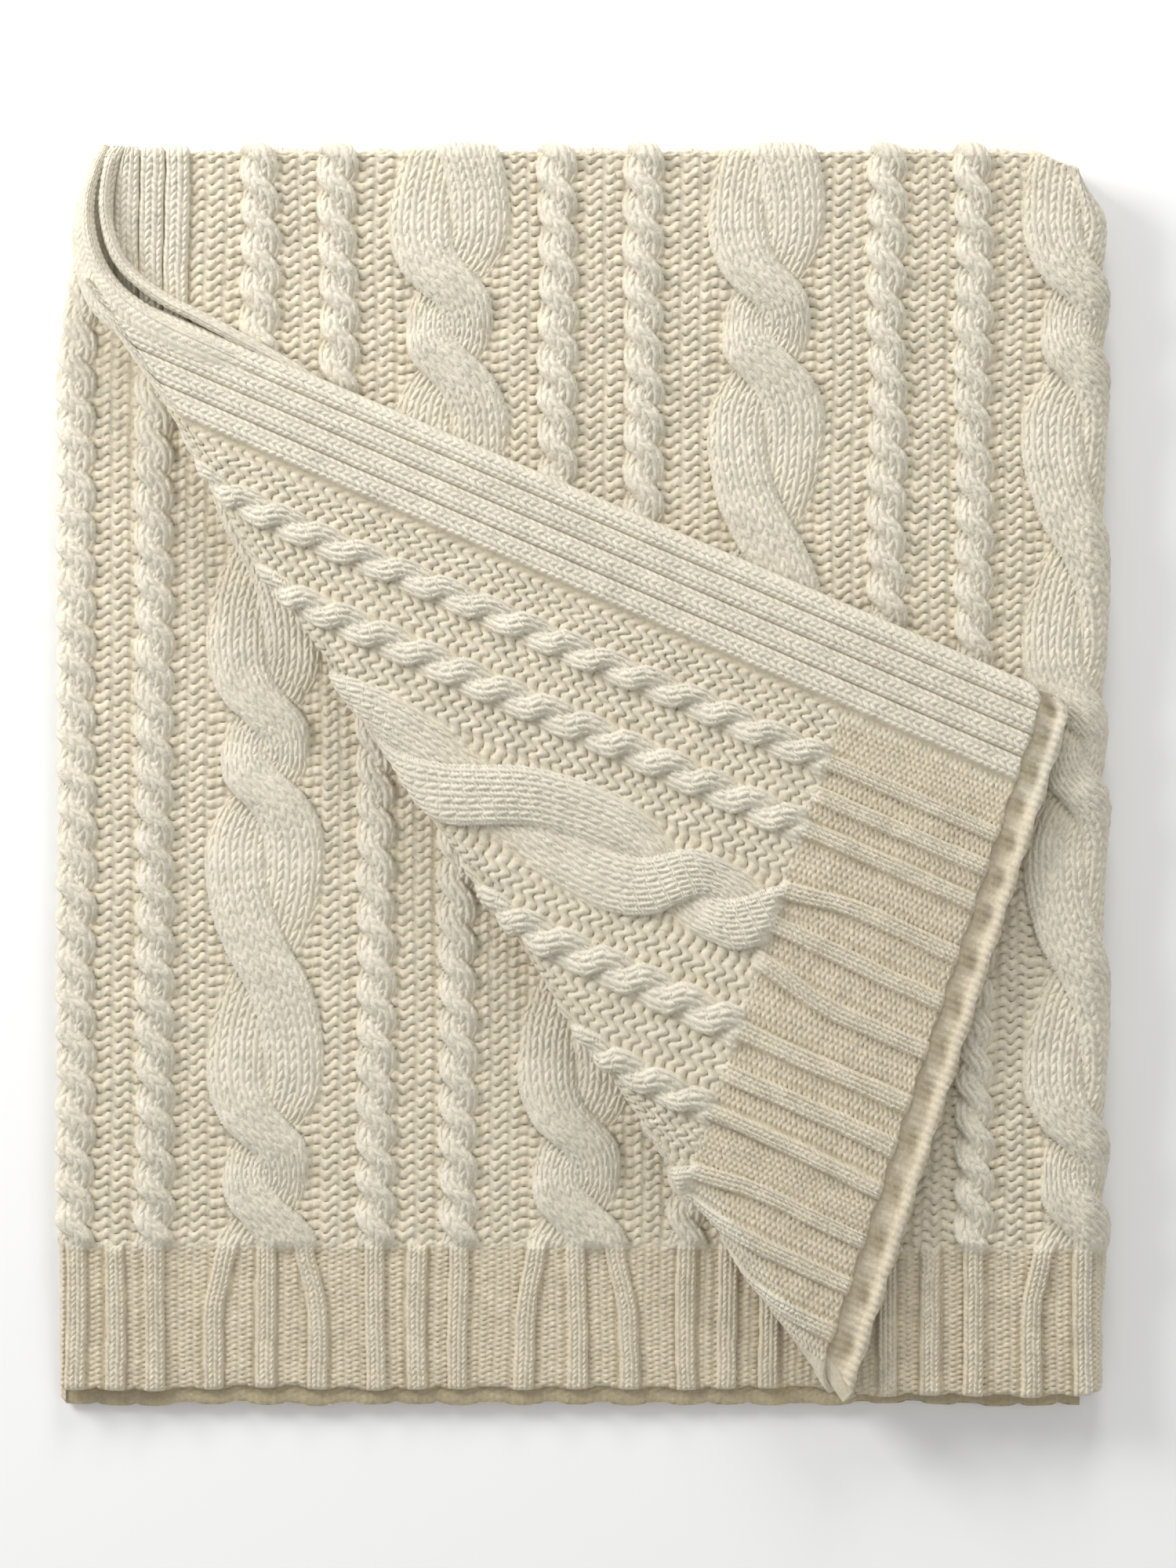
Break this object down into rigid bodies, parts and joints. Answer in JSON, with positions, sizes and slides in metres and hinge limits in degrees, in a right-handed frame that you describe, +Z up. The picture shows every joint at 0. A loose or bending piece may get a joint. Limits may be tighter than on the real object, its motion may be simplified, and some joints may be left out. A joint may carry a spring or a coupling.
{
  "type": "folded throw blanket",
  "caption": "Ivory cable-knit throw with ribbed hems, folded in four plies with one corner turned back over the top.",
  "frame": {"origin": "centre of the folded throw's underside, on the surface it lies on", "axes": "+Z up, +Y along the knit columns away from the ribbed hems, +X towards the fold that joins the halves"},
  "size_m": [0.628, 0.751, 0.0507],
  "materials": {
    "cable_knit": "soft brushed ivory wool-blend yarn in cable and purl stitch",
    "ribbed_knit": "the same ivory yarn, knitted in ribs at the hems and side bands"
  },
  "bodies": {
    "lower_half": {"lower_back_panel": "cable_knit", "lower_front_panel": "cable_knit", "lower_back_hem_rib": "ribbed_knit", "lower_front_hem_rib": "ribbed_knit", "lower_back_side_band": "ribbed_knit", "lower_front_side_band": "ribbed_knit", "lower_top_fold": "cable_knit", "right_fold_inner_wrap": "cable_knit", "right_fold_outer_wrap": "cable_knit"},
    "upper_half": {"upper_back_panel": "cable_knit", "upper_front_panel": "cable_knit", "upper_back_hem_rib": "ribbed_knit", "upper_front_hem_rib": "ribbed_knit", "upper_back_side_band": "ribbed_knit", "upper_front_side_band": "ribbed_knit", "upper_top_fold": "cable_knit", "corner_fold_inner_roll": "cable_knit", "corner_fold_outer_roll": "cable_knit"},
    "corner_flap": {"flap_back_panel": "cable_knit", "flap_back_hem_rib": "ribbed_knit", "flap_back_side_band": "ribbed_knit", "flap_front_panel": "cable_knit", "flap_front_hem_rib": "ribbed_knit", "flap_front_side_band": "ribbed_knit"}
  },
  "joints": [
    {"name": "half_fold", "type": "hinge", "parent": "lower_half", "child": "upper_half", "pos_m": [0.314, 0, 0.01685], "axis": [0, 1, 0], "range_deg": [0, 179], "deforming": ["right_fold_inner_wrap", "right_fold_outer_wrap"]},
    {"name": "corner_fold", "type": "hinge", "parent": "upper_half", "child": "corner_flap", "pos_m": [-0.29, 0.262, 0.03385], "axis": [0.5656, -0.8247, 0], "range_deg": [0, 179], "deforming": ["corner_fold_inner_roll", "corner_fold_outer_roll"]}
  ]
}
